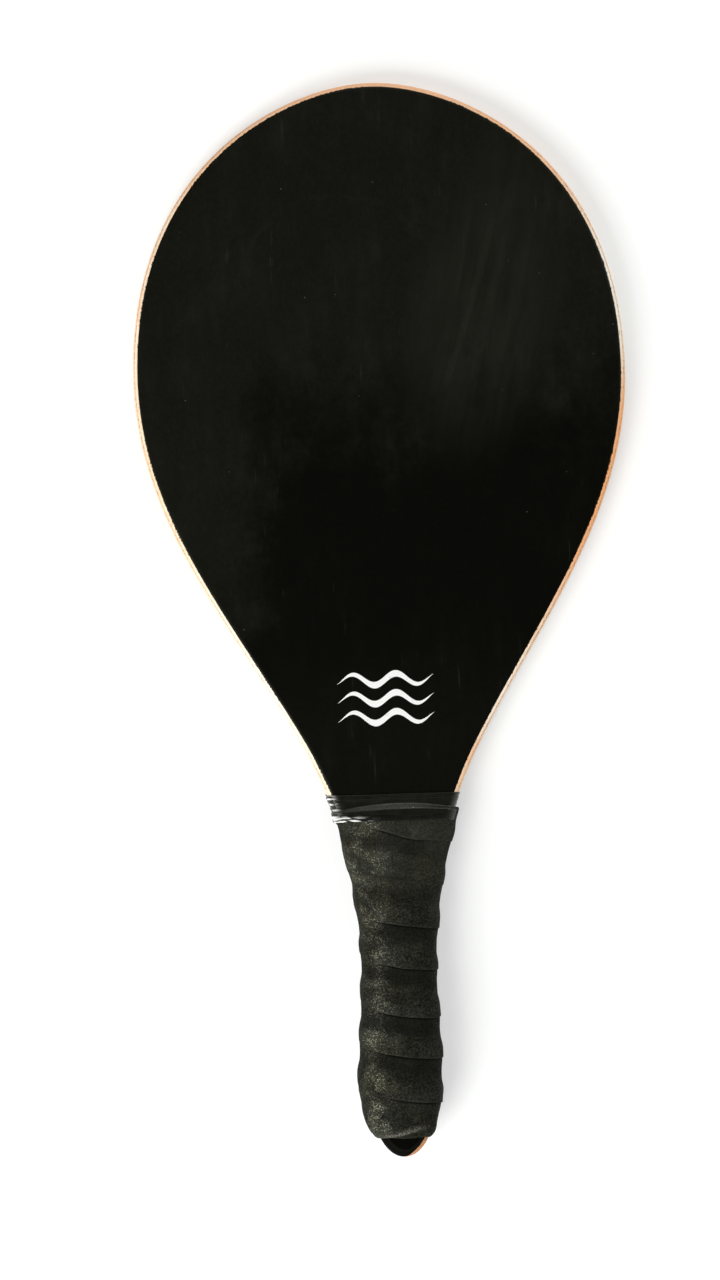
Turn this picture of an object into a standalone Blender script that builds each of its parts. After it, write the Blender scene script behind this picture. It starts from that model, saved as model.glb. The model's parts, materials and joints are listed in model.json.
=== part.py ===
"""Beach paddle: a plywood blade with black facings and a taped handle.

The paddle is modelled in a frame of its own. X runs across it, Y from the tip of the butt to the
top of the head, and Z through its thickness, with the middle of the plywood at Z = 0. At the end
the whole paddle is laid down as it lies on a table, on the rim of its head and the swell of its
grip, with the middle of its footprint at the world's origin.
"""

import math

import bmesh
import bpy
import numpy as np
from mathutils import Vector
from mathutils.geometry import closest_point_on_tri, interpolate_bezier

# Driving sizes of the outline, in metres and degrees. A pull is the length of a curve's handle.
PADDLE_LENGTH = 0.500
HEAD_HALF_WIDTH = 0.1146
WIDEST_BELOW_HEAD = 0.135
HEAD_CROWN_PULL = 0.040
SHOULDER_PULL = 0.100
LOWER_BLADE_PULL = 0.066
FLANK_FROM_BUTT = 0.192
FLANK_HALF_WIDTH = 0.0416
FLANK_ANGLE = 28.8
FLANK_UPPER_PULL = 0.0656
FLANK_LOWER_PULL = 0.0493
WAIST_FROM_BUTT = 0.088
WAIST_HALF_WIDTH = 0.0155
WAIST_UPPER_PULL = 0.017
WAIST_LOWER_PULL = 0.020
SWELL_FROM_BUTT = 0.032
SWELL_HALF_WIDTH = 0.01705
SWELL_UPPER_PULL = 0.025
SWELL_LOWER_PULL = 0.002
TIP_PULL = 0.014

# Driving sizes of the layers
FACE_VENEER_THICKNESS = 0.0007
INNER_PLY_THICKNESS = 0.0020
INNER_PLY_COUNT = 3
FACING_THICKNESS = 0.0004
GLUE_LINE = 0.0003
EDGE_ROUND = 0.0038

# Driving sizes of the handle's cheeks. Their places are measured from the butt.
CHEEK_HEIGHT = 0.0055
CHEEK_START = 0.0095
CHEEK_NOSE = 0.016
CHEEK_END = 0.155
CHEEK_RAMP = 0.042
BLADE_SQUARENESS = 12.0
HANDLE_SQUARENESS = 2.4

# Driving sizes of the winding
SEAT_GAP = 0.00035
GRIP_START = 0.010
GRIP_END = 0.162
TAPE_WIDTH = 0.025
TAPE_PITCH = 0.020
TAPE_THICKNESS = 0.0016
TAPE_RIM_THICKNESS = 0.0008
LAP_GAP = 0.00048
LAP_RAMP = 0.004
FIRST_RIGHT_EDGE = 0.0061
START_STUB = 0.002
END_STUB = 0.006
START_FADE_TURNS = 0.13

# Driving sizes of the finishing band
BAND_START = 0.1555
BAND_END = 0.169
BAND_THICKNESS = 0.0004

# Fineness of the curved surfaces
OUTLINE_STEPS = 14
EDGE_STEPS = 3
POINTS_PER_TURN = 24

LAP = TAPE_WIDTH - TAPE_PITCH
PLY_THICKNESSES = [FACE_VENEER_THICKNESS] + [INNER_PLY_THICKNESS] * INNER_PLY_COUNT + [FACE_VENEER_THICKNESS]
CORE_HALF_THICKNESS = (sum(PLY_THICKNESSES) + (len(PLY_THICKNESSES) - 1) * GLUE_LINE) / 2
FACING_BOTTOM = CORE_HALF_THICKNESS + GLUE_LINE
BLADE_HALF_THICKNESS = FACING_BOTTOM + FACING_THICKNESS
FIRST_TURN = (GRIP_START + START_STUB - TAPE_WIDTH - FIRST_RIGHT_EDGE) / TAPE_PITCH
LAST_TURN = (GRIP_END - END_STUB - FIRST_RIGHT_EDGE) / TAPE_PITCH


def clear_scene():
    for old in list(bpy.data.objects):
        bpy.data.objects.remove(old, do_unlink=True)


def make_collection(name):
    collection = bpy.data.collections.new(name)
    bpy.context.scene.collection.children.link(collection)
    return collection


def make_material(name, colour, roughness, metallic=0.0):
    material = bpy.data.materials.new(name)
    material.use_nodes = True
    shader = material.node_tree.nodes["Principled BSDF"]
    shader.inputs["Base Color"].default_value = (*colour, 1.0)
    shader.inputs["Roughness"].default_value = roughness
    shader.inputs["Metallic"].default_value = metallic
    return material


def ease(share):
    """Goes smoothly from 0 to 1 as the share does, and stays there beyond both ends."""
    share = min(max(share, 0.0), 1.0)
    return share * share * (3.0 - 2.0 * share)


# Outline of the blade and the handle's core

def right_half_knots():
    """Knots of the right half from head to tip: the point, and its handles up and down."""
    flank = Vector((math.sin(math.radians(FLANK_ANGLE)), math.cos(math.radians(FLANK_ANGLE))))
    across = Vector((1.0, 0.0))
    along = Vector((0.0, 1.0))
    places = (
        (Vector((0.0, PADDLE_LENGTH)), -across, HEAD_CROWN_PULL, HEAD_CROWN_PULL),
        (Vector((HEAD_HALF_WIDTH, PADDLE_LENGTH - WIDEST_BELOW_HEAD)), along,
         SHOULDER_PULL, LOWER_BLADE_PULL),
        (Vector((FLANK_HALF_WIDTH, FLANK_FROM_BUTT)), flank, FLANK_UPPER_PULL, FLANK_LOWER_PULL),
        (Vector((WAIST_HALF_WIDTH, WAIST_FROM_BUTT)), along, WAIST_UPPER_PULL, WAIST_LOWER_PULL),
        (Vector((SWELL_HALF_WIDTH, SWELL_FROM_BUTT)), along, SWELL_UPPER_PULL, SWELL_LOWER_PULL),
        (Vector((0.0, 0.0)), across, TIP_PULL, TIP_PULL),
    )
    return [(point, point + way * up, point - way * down) for point, way, up, down in places]


def mirrored(point):
    return Vector((-point.x, point.y))


def half_outline():
    """Points of the right half's edge, from the tip of the butt up to the head."""
    knots = right_half_knots()
    points = []
    for upper, lower in zip(knots, knots[1:]):
        stretch = interpolate_bezier(upper[0], upper[2], lower[1], lower[0], 60)
        points.extend(stretch[1:] if points else stretch)
    points.reverse()
    return [p.y for p in points], [p.x for p in points]


EDGE_PLACES, EDGE_WIDTHS = half_outline()


def half_width(y):
    return float(np.interp(y, EDGE_PLACES, EDGE_WIDTHS))


def make_blank(collection):
    """The whole blade as one block: the outline with both its rims rounded over."""
    right = right_half_knots()
    left = [(mirrored(point), mirrored(down), mirrored(up)) for point, up, down in right[-2:0:-1]]
    curve = bpy.data.curves.new("blank_outline", "CURVE")
    curve.dimensions = "2D"
    curve.fill_mode = "BOTH"
    curve.resolution_u = OUTLINE_STEPS
    curve.extrude = BLADE_HALF_THICKNESS - EDGE_ROUND
    curve.bevel_depth = EDGE_ROUND
    curve.bevel_resolution = EDGE_STEPS
    curve.offset = -EDGE_ROUND
    spline = curve.splines.new("BEZIER")
    spline.bezier_points.add(len(right) + len(left) - 1)
    for knot, (point, before, after) in zip(spline.bezier_points, right + left):
        knot.handle_left_type = "FREE"
        knot.handle_right_type = "FREE"
        knot.co = point.to_3d()
        knot.handle_left = before.to_3d()
        knot.handle_right = after.to_3d()
    spline.use_cyclic_u = True
    outline = bpy.data.objects.new("blank_outline", curve)
    collection.objects.link(outline)
    return curve_to_mesh(outline, "blank", collection)


def curve_to_mesh(outline, name, collection):
    """A closed mesh of a curve object, which it replaces."""
    evaluated = outline.evaluated_get(bpy.context.evaluated_depsgraph_get())
    mesh = bpy.data.meshes.new_from_object(evaluated)
    mesh.name = name
    shape = bmesh.new()
    shape.from_mesh(mesh)
    bmesh.ops.remove_doubles(shape, verts=shape.verts, dist=0.00001)
    bmesh.ops.recalc_face_normals(shape, faces=shape.faces)
    shape.to_mesh(mesh)
    shape.free()
    solid = bpy.data.objects.new(name, mesh)
    solid.matrix_world = outline.matrix_world
    collection.objects.link(solid)
    bpy.data.objects.remove(outline, do_unlink=True)
    return as_guide(solid)


def as_guide(helper):
    helper.hide_render = True
    helper.display_type = "WIRE"
    return helper


def make_slab(name, bottom, top, collection):
    """A flat block, wider than the paddle, between two heights."""
    shape = bmesh.new()
    bmesh.ops.create_cube(shape, size=1.0)
    bmesh.ops.scale(shape, verts=shape.verts, vec=(PADDLE_LENGTH * 2, PADDLE_LENGTH * 4, top - bottom))
    bmesh.ops.translate(shape, verts=shape.verts, vec=(0.0, 0.0, (top + bottom) / 2))
    mesh = bpy.data.meshes.new(name)
    shape.to_mesh(mesh)
    shape.free()
    slab = bpy.data.objects.new(name, mesh)
    collection.objects.link(slab)
    return as_guide(slab)


def make_layer(name, block, bottom, top, material, parts, cutters):
    """The slice of a block that lies between two heights."""
    layer = bpy.data.objects.new(name, block.data.copy())
    layer.data.materials.clear()
    layer.data.materials.append(material)
    parts.objects.link(layer)
    slice_off = layer.modifiers.new("slice", "BOOLEAN")
    slice_off.operation = "INTERSECT"
    slice_off.solver = "EXACT"
    slice_off.object = make_slab(name + "_slab", bottom, top, cutters)
    return layer


# The handle's form, on which the cheeks, the winding and the band are built

def cheek_share(y):
    """How much of the cheeks' height stands at a place along the handle, from 0 to 1."""
    nose = math.sin(min(max((y - CHEEK_START) / CHEEK_NOSE, 0.0), 1.0) * math.pi / 2)
    return nose * ease((CHEEK_END - y) / CHEEK_RAMP)


def power(value, exponent):
    return math.copysign(abs(value) ** exponent, value)


def handle_point(angle, y, clearance=0.0):
    """A point of the handle's section, which is square where it is blade and oval where it is grip."""
    share = cheek_share(y)
    flatness = (1.0 - share) ** 2
    squareness = HANDLE_SQUARENESS + (BLADE_SQUARENESS - HANDLE_SQUARENESS) * flatness
    wide = half_width(y) + clearance
    thick = BLADE_HALF_THICKNESS + CHEEK_HEIGHT * share + clearance
    x = wide * power(math.cos(angle), 2.0 / squareness)
    z = thick * power(math.sin(angle), 2.0 / squareness)
    return Vector((x, y, z))


def seat_point(angle, y, height):
    """A point at a height over the seat, square to the handle's surface."""
    step = 0.0005
    turn_step = 0.02
    around = handle_point(angle + turn_step, y, SEAT_GAP) - handle_point(angle - turn_step, y, SEAT_GAP)
    along = handle_point(angle, y + step, SEAT_GAP) - handle_point(angle, y - step, SEAT_GAP)
    outward = along.cross(around).normalized()
    return handle_point(angle, y, SEAT_GAP) + outward * height


def loft(name, loops, closed_round, material, collection):
    """Skins loops of equal count, joined end to end into a ring or closed with two end faces."""
    shape = bmesh.new()
    rings = [[shape.verts.new(point) for point in loop] for loop in loops]
    count = len(rings[0])
    pairs = list(zip(rings, rings[1:]))
    if closed_round:
        pairs.append((rings[-1], rings[0]))
    else:
        shape.faces.new(rings[0])
        shape.faces.new(list(reversed(rings[-1])))
    for first, second in pairs:
        for i in range(count):
            j = (i + 1) % count
            shape.faces.new((first[i], second[i], second[j], first[j]))
    bmesh.ops.recalc_face_normals(shape, faces=shape.faces)
    mesh = bpy.data.meshes.new(name)
    shape.to_mesh(mesh)
    shape.free()
    if material:
        mesh.materials.append(material)
    solid = bpy.data.objects.new(name, mesh)
    collection.objects.link(solid)
    return solid


def ring_angles():
    return [math.tau * i / POINTS_PER_TURN for i in range(POINTS_PER_TURN)]


def make_handle_form(cutters):
    """The oval handle as one block, from which the two cheeks are sliced."""
    nose = [CHEEK_START + CHEEK_NOSE * share for share in (0.12, 0.3, 0.5, 0.75, 1.0)]
    ramp = [CHEEK_END - CHEEK_RAMP * share for share in (1.0, 0.8, 0.6, 0.42, 0.25)]
    middle_steps = 9
    middle = [nose[-1] + (ramp[0] - nose[-1]) * i / middle_steps for i in range(1, middle_steps)]
    loops = [[handle_point(angle, y) for angle in ring_angles()] for y in nose + middle + ramp]
    return as_guide(loft("handle_form", loops, False, None, cutters))


# The winding: one strip of tape, wound from the butt to the blade, each turn lapping the last

def natural_edge(turn):
    """Place of the tape's lower edge, by turns counted from the handle's right side."""
    return FIRST_RIGHT_EDGE + TAPE_PITCH * turn


def tape_edges(turn):
    """Lower and upper edge of the tape, trimmed square at the butt and under the band."""
    lower = natural_edge(turn)
    return max(lower, GRIP_START), min(lower + TAPE_WIDTH, GRIP_END)


def tape_thickness(turn, y):
    """The tape is skived along both its edges, over the width of the lap."""
    inward = min(y - natural_edge(turn), natural_edge(turn) + TAPE_WIDTH - y)
    share = min(max(inward / LAP, 0.0), 1.0)
    return TAPE_RIM_THICKNESS + (TAPE_THICKNESS - TAPE_RIM_THICKNESS) * share


def tape_height(turn, y):
    """Height of the tape's inner face over the seat: it climbs over the turn below it."""
    fade = ease((turn - FIRST_TURN - 1.0 + START_FADE_TURNS) / START_FADE_TURNS)
    lap_end = natural_edge(turn) + LAP
    over_last = tape_thickness(turn - 1.0, min(y, lap_end)) + LAP_GAP
    return fade * over_last * (1.0 - ease((y - lap_end) / LAP_RAMP))


def tape_places(turn):
    """Places across the tape where its section has its points, from the lower edge up."""
    lower, upper = tape_edges(turn)
    lap_end = natural_edge(turn) + LAP
    crest = natural_edge(turn) + TAPE_WIDTH - LAP
    wanted = (lower, lap_end, lap_end + LAP_RAMP, (lap_end + LAP_RAMP + crest) / 2, crest, upper)
    least = (upper - lower) * 0.02
    places = []
    for i, place in enumerate(wanted):
        lowest = places[-1] + least if places else lower
        highest = upper - least * (len(wanted) - 1 - i)
        places.append(min(max(place, lowest), highest))
    return places


def tape_section(turn):
    """The tape's section as a loop: along its inner face, then back along its outer one."""
    angle = math.tau * turn
    inner = []
    outer = []
    for y in tape_places(turn):
        height = tape_height(turn, y)
        inner.append(seat_point(angle, y, height))
        outer.append(seat_point(angle, y, height + tape_thickness(turn, y)))
    return inner + outer[::-1]


def tape_turns():
    """Turns at which the tape has a section: both ends, and every step between them."""
    first_step = math.ceil(FIRST_TURN * POINTS_PER_TURN + 0.2)
    last_step = math.floor(LAST_TURN * POINTS_PER_TURN - 0.2)
    steps = [step / POINTS_PER_TURN for step in range(first_step, last_step + 1)]
    return [FIRST_TURN] + steps + [LAST_TURN]


def make_grip_tape(material, parts):
    sections = [tape_section(turn) for turn in tape_turns()]
    print("least gap of the grip tape to itself, mm:", round(least_gap(sections) * 1000, 3))
    return loft("grip_tape", sections, False, material, parts)


def least_gap(sections):
    """Least distance from a section's points to the faces of the turn before it."""
    least = math.inf
    count = len(sections[0])
    for i in range(POINTS_PER_TURN + 2, len(sections)):
        for j in (i - POINTS_PER_TURN - 1, i - POINTS_PER_TURN):
            for k in range(count):
                corners = (sections[j][k], sections[j + 1][k],
                           sections[j + 1][(k + 1) % count], sections[j][(k + 1) % count])
                for point in sections[i]:
                    for triangle in (corners[:3], (corners[0], *corners[2:])):
                        near = closest_point_on_tri(point, *triangle)
                        least = min(least, (point - near).length)
    return least


def winding_top(angle, y):
    """Height of the winding's outer face over the seat, and 0 where there is no tape."""
    top = 0.0
    share = (angle / math.tau) % 1.0
    for whole in range(math.floor(FIRST_TURN), math.ceil(LAST_TURN) + 1):
        turn = whole + share
        lower, upper = tape_edges(turn)
        if FIRST_TURN <= turn <= LAST_TURN and lower <= y <= upper:
            top = max(top, tape_height(turn, y) + tape_thickness(turn, y))
    return top


# The band of vinyl tape over the winding's top end

def band_height(angle, y):
    """Height of the band's inner face: clear of the highest tape close by."""
    reach = 0.001
    spread = math.tau / POINTS_PER_TURN
    tops = [winding_top(angle + turn, y + shift)
            for turn in (-spread, 0.0, spread) for shift in (-reach, 0.0, reach)]
    return max(tops) + SEAT_GAP if max(tops) > 0.0 else 0.0


def make_finishing_tape(material, parts):
    clear_of_tape = GRIP_END + 0.0015
    shares = (0.0, 0.2, 0.45, 0.7, 1.0)
    over_grip = [BAND_START + (clear_of_tape - BAND_START) * share for share in (0.0, 0.35, 0.7, 0.9)]
    over_blade = [clear_of_tape + (BAND_END - clear_of_tape) * share for share in shares]
    places = over_grip + over_blade
    loops = []
    for angle in ring_angles():
        heights = [band_height(angle, y) for y in places]
        inner = [seat_point(angle, y, h) for y, h in zip(places, heights)]
        outer = [seat_point(angle, y, h + BAND_THICKNESS) for y, h in zip(places, heights)]
        loops.append(inner + outer[::-1])
    return loft("finishing_tape", loops, True, material, parts)


# Laying the finished paddle down

def resting_slope(points, balance):
    """Slope of the line that the paddle rests on, through its lowest points either side."""
    head = points[points[:, 1] > balance]
    handle = points[points[:, 1] < balance]
    slope = 0.0
    for _ in range(12):
        high = head[np.argmin(head[:, 2] - slope * head[:, 1])]
        low = handle[np.argmin(handle[:, 2] - slope * handle[:, 1])]
        slope = (high[2] - low[2]) / (high[1] - low[1])
    return slope


def evaluated_points(part):
    evaluated = part.evaluated_get(bpy.context.evaluated_depsgraph_get())
    return np.array([vertex.co for vertex in evaluated.data.vertices])


def lay_down(parts, guides):
    """Parents everything to one empty that tips the paddle onto its rim and its grip."""
    points = np.vstack([evaluated_points(part) for part in parts.objects])
    slope = resting_slope(points, FLANK_FROM_BUTT)
    tip = -math.atan(slope)
    along = points[:, 1] * math.cos(tip) - points[:, 2] * math.sin(tip)
    up = points[:, 1] * math.sin(tip) + points[:, 2] * math.cos(tip)
    rest = bpy.data.objects.new("lying_on_the_table", None)
    rest.empty_display_size = 0.05
    rest.rotation_euler = (tip, 0.0, 0.0)
    rest.location = (0.0, -(along.min() + along.max()) / 2, -up.min())
    parts.objects.link(rest)
    for thing in [*parts.objects, *guides.objects]:
        if thing is not rest:
            thing.parent = rest
    print("tip of the blade to the table, degrees:", round(math.degrees(tip), 3))


def shade(part):
    part.data.shade_smooth()
    part.data.set_sharp_from_angle(angle=math.radians(40.0))


def main():
    clear_scene()
    parts = make_collection("beach_paddle")
    cutters = make_collection("cutters")
    light_wood = make_material("okoume_veneer", (0.72, 0.42, 0.27), 0.45)
    cross_wood = make_material("okoume_cross_veneer", (0.60, 0.32, 0.19), 0.5)
    cheek_wood = make_material("okoume_cheek", (0.66, 0.38, 0.24), 0.6)
    facing = make_material("black_facing", (0.012, 0.012, 0.010), 0.32)
    grip = make_material("charcoal_grip_tape", (0.028, 0.028, 0.024), 0.85)
    vinyl = make_material("black_vinyl_tape", (0.010, 0.010, 0.009), 0.18)

    blank = make_blank(cutters)
    top = CORE_HALF_THICKNESS
    for number, thickness in enumerate(PLY_THICKNESSES):
        wood = cross_wood if number % 2 else light_wood
        make_layer(f"core_ply_{number + 1}", blank, top - thickness, top, wood, parts, cutters)
        top -= thickness + GLUE_LINE
    beyond = BLADE_HALF_THICKNESS + EDGE_ROUND
    make_layer("front_laminate", blank, FACING_BOTTOM, beyond, facing, parts, cutters)
    make_layer("back_laminate", blank, -beyond, -FACING_BOTTOM, facing, parts, cutters)

    form = make_handle_form(cutters)
    seat = BLADE_HALF_THICKNESS + SEAT_GAP
    beyond = BLADE_HALF_THICKNESS + CHEEK_HEIGHT * 2
    make_layer("front_cheek", form, seat, beyond, cheek_wood, parts, cutters)
    make_layer("back_cheek", form, -beyond, -seat, cheek_wood, parts, cutters)

    make_grip_tape(grip, parts)
    make_finishing_tape(vinyl, parts)
    bpy.context.view_layer.update()
    lay_down(parts, cutters)
    for part in parts.objects:
        if part.type == "MESH":
            shade(part)


main()
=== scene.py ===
import json
import math

import bpy
import numpy as np
from mathutils import Matrix, Vector
from mathutils.geometry import interpolate_bezier
from mathutils.noise import noise


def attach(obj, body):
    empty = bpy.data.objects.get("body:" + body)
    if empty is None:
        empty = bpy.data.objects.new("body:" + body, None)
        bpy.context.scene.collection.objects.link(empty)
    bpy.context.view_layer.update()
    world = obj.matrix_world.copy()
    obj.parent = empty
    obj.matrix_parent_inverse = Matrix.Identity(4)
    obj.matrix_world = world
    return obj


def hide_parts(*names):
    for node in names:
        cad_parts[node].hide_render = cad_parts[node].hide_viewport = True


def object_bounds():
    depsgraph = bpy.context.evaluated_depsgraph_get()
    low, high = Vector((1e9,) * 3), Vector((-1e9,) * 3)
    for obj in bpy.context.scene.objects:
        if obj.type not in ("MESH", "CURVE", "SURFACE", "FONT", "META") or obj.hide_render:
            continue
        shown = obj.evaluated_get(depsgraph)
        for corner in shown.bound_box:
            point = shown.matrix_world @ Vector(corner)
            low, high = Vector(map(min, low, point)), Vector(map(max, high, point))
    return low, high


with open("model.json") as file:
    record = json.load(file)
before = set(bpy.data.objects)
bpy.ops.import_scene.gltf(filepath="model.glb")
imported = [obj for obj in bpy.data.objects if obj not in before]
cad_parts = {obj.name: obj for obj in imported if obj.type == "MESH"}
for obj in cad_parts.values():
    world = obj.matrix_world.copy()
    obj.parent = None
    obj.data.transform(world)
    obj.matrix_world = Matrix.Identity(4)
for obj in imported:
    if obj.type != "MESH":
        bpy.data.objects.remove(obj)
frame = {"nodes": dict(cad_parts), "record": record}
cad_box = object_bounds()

# Outline of the blade and the handle's core, in metres and degrees, from the butt's tip.
# X runs across the paddle, Y from the butt to the head and Z through its thickness.
PADDLE_LENGTH = 0.500
HEAD_HALF_WIDTH = 0.1146
WIDEST_BELOW_HEAD = 0.135
HEAD_CROWN_PULL = 0.040
SHOULDER_PULL = 0.100
LOWER_BLADE_PULL = 0.066
FLANK_FROM_BUTT = 0.192
FLANK_HALF_WIDTH = 0.0416
FLANK_ANGLE = 28.8
FLANK_UPPER_PULL = 0.0656
FLANK_LOWER_PULL = 0.0493
WAIST_FROM_BUTT = 0.088
WAIST_HALF_WIDTH = 0.0155
WAIST_UPPER_PULL = 0.017
WAIST_LOWER_PULL = 0.020
SWELL_FROM_BUTT = 0.032
SWELL_HALF_WIDTH = 0.01705
SWELL_UPPER_PULL = 0.025
SWELL_LOWER_PULL = 0.002
TIP_PULL = 0.014
OUTLINE_STEPS = 60
CURVE_STEPS = 44
RIM_STEPS = 11

# Layers of the blade: heights over the middle of the plywood
BLADE_HALF_THICKNESS = 0.0050
FACING_BOTTOM = 0.0046
VENEER_BOTTOM = 0.00345
CROSS_PLY_BOTTOM = 0.00115
EDGE_ROUND = 0.0038
GLUE_GAP = 0.00002
MOUNT_FROM_BUTT = 0.345

# Form of the handle under the winding
CHEEK_HEIGHT = 0.0055
CHEEK_START = 0.0095
CHEEK_NOSE = 0.016
CHEEK_END = 0.155
CHEEK_RAMP = 0.042
BLADE_SQUARENESS = 12.0
HANDLE_SQUARENESS = 2.4
SEAT_GAP = 0.00035

# The winding of cushioned tape. Its turns are counted from the handle's right side.
GRIP_START = 0.0086
GRIP_END = 0.162
TAPE_WIDTH = 0.025
TAPE_PITCH = 0.020
LENGTH_OF_TURN = 0.11
LEAST_THICKNESS = 0.00040
FIRST_RIGHT_EDGE = 0.0061
START_STUB = 0.002
END_STUB = 0.006
START_FADE_TURNS = 0.13
FIRST_TURN = (GRIP_START + START_STUB - TAPE_WIDTH - FIRST_RIGHT_EDGE) / TAPE_PITCH
LAST_TURN = (GRIP_END - END_STUB - FIRST_RIGHT_EDGE) / TAPE_PITCH
TAPE_STATIONS_PER_TURN = 96

# Height of the winding over the handle. A hump is given as its start, rise, end and fall.
VALLEY_HEIGHT = 0.0022
SWELL_PADDING = (0.012, 0.020, 0.080, 0.035)
SWELL_FACE_PAD = 0.0003
SWELL_SIDE_PAD = 0.0002
SIDE_TENSION = 0.0006
BACK_PRESS = 0.0003
LEFT_SQUEEZE = 0.80
SQUEEZE_START = 0.1465
SQUEEZE_RAMP = 0.0080
LUMPS = ((0.00013, 95.0, 120.0, 1.3), (0.00005, 330.0, 380.0, 7.9))

# How each turn laps over the last one and is tucked under the next one
LAP_HEIGHT = 0.0009
LAP_LEAD = 0.0006
LAP_RAMP = 0.0065
LAP_GAP = 0.00003
APPROACH_HEIGHT = 0.00035
APPROACH_REACH = 0.006
TUCKED_HEIGHT = 0.0006
SETTLING_REACH = 0.0012

# Rounded edges of the tape: how far each reaches in from the edge, and how far it falls
STEP_REACH = 0.0009
SOFT_REACH = 0.0032
STEP_DROP = 0.00052
BUTT_REACH = 0.0100
BUTT_DROP = 0.0007
BUTT_SIDE_DROP = 0.0012
LIP_REACH = 0.0022
LIP_DROP = 0.0009
CUT_REACH = 0.0014
CUT_DROP = 0.0006

# Where the winding is cut off under the band
CUT_BELOW_END = 0.0006
CUT_SLANT = 0.0003
CUT_CROWN = 0.0002

# Where each turn's lower edge is pressed soft, as shares of the turn
SOFT_FROM = (0.24, 0.20, 0.265, 0.26, 0.235, 0.25, 0.24, 0.24)
SOFT_RISE = 0.14
SOFT_UNTIL = 0.94
SOFT_FALL = 0.12
SOFTNESS = 0.9
PRESSED_TURN = 6.25
PRESSED_REACH = 0.3
LAST_EDGE_SOFTNESS = 0.30
LAST_EDGE_STARTS = 0.20

# How each turn of the hand-wound tape strays from an even helix, in millimetres. The first value is
# for the turn before the one that starts at the handle's right side.
FIRST_LISTED_TURN = -1
EDGE_DRIFTS = (0.0, -0.3, -0.9, -0.8, -1.7, 0.3, -0.6, -0.5, 0.0, 0.0)
EDGE_SAGS = (2.0, 2.6, 3.4, 3.2, 3.8, 3.3, 2.8, 3.0, 3.7, 3.7)
EDGE_STRAY = 0.00025
LAST_RISE = 0.0030
LAST_RISE_TURN = 7.16
LAST_RISE_RAMP = 0.16

# How far the winding bulges sideways: to the right at its top, and to the left at the butt
TOP_SWAY = 0.0006
SWAY_CHANGE = 0.0012
SWAY_FROM = 0.150
SWAY_RAMP = 0.130
BUTT_SWAY = 0.0006
BUTT_SWAY_REACH = 0.012

# The fold on the front of the butt, from its left end
FOLD_START = Vector((-0.0098, 0.0101))
FOLD_WAY = Vector((0.0200, 0.0051))
FOLD_HUMP = (-0.15, 0.3, 1.2, 0.35)
RIDGE_HEIGHT = 0.00060
RIDGE_REACH = 0.0011
FACET_DEPTH = 0.0013
FACET_REACH = 0.0026
CREST_HUMP = (-0.1, 0.3, 1.15, 0.5)
CREST_REACH = 0.0009

# The stripe of painted highlight on the front's left, as half turns, and how it wanders
HIGHLIGHT_MIDDLE = 0.69
HIGHLIGHT_REACH = 0.42
HIGHLIGHT_BUTT_SHIFT = 0.03
HIGHLIGHT_SHIFTS = ((0.045, 0.122, 0.020), (0.028, 0.079, 0.015))

# Places across the tape where its section has points, in millimetres
OUTER_OFFSETS = (0.0, 0.12, 0.3, 0.55, 0.85, 1.2, 1.6, 2.1, 2.7, 3.3, 3.9, 4.5, 5.1, 5.7, 6.4, 7.1, 7.8,
                 8.5, 9.2, 9.9, 10.7, 11.5, 12.3, 13.1, 13.9, 14.7, 15.5, 16.3, 17.1, 17.9, 18.6, 19.2,
                 19.7, 20.2, 20.8, 21.6, 22.6, 23.7, 24.5, 25.0)
INNER_OFFSETS = (25.0, 23.0, 19.0, 14.0, 9.0, 6.0, 4.0, 2.0, 0.0)
# Marks on the tape's points; the fold's crest and the last one carry painted highlight
MARKS_OF_TAPE = ("below_next", "next_step", "own_step", "fold_crest", "highlight_side")

# The band of vinyl tape over the winding's top end
VINYL_WIDTH = 0.0124
VINYL_THICKNESS = 0.00013
VINYL_LOWER_EDGE = 0.1561
VINYL_TILT = -0.0005
VINYL_WAVE = 0.00030
VINYL_NARROWING = 0.0022
VINYL_NARROWING_TURN = 1.55
VINYL_FIRST_TURN = 0.62
VINYL_LAST_TURN = 2.70
VINYL_STATIONS_PER_TURN = 160
VINYL_STEPS = 34
FIRST_TURN_UNDER_BAND = 4
SMOOTHING_ANGLE = 0.06
FIRM_BELOW_CUT = 0.0018
CLIMB_LEAD = 0.0008
CLIMB_AT_SIDES = 0.0012
CLIMB_IN_MIDDLE = 0.0029
FOLD_SPACING = 0.0031
FINE_FOLD_SPACING = 0.0017
LEFT_FOLDS = (0.00028, 0.00019)
RIGHT_FOLDS = (0.00016, 0.00008)
FAINT_FOLDS = 0.00003
LIFTED_EDGE = 0.0030
EDGE_LIFT = 0.00018
PUCKER_LIFT = 0.00038

# Where painted glints whiten the vinyl: the middle in half turns, the reach and the gain, then the grain's
# cells round the handle and along it, its seed, its threshold and its ramp
PUCKER_GLINTS = (0.75, 0.25, 1.6, 9.0, 1250.0, 3.0, 0.02, 0.12)
CORNER_GLINTS = (0.83, 0.13, 1.4, 5.0, 980.0, 8.0, 0.06, 0.12)
FLANK_GLINTS = (0.135, 0.12, 1.3, 3.0, 420.0, 4.0, -0.42, 0.25)
FLANK_GLINT_LEVEL = 0.8
PUCKER_GLINT_EDGE = 0.0032

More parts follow.
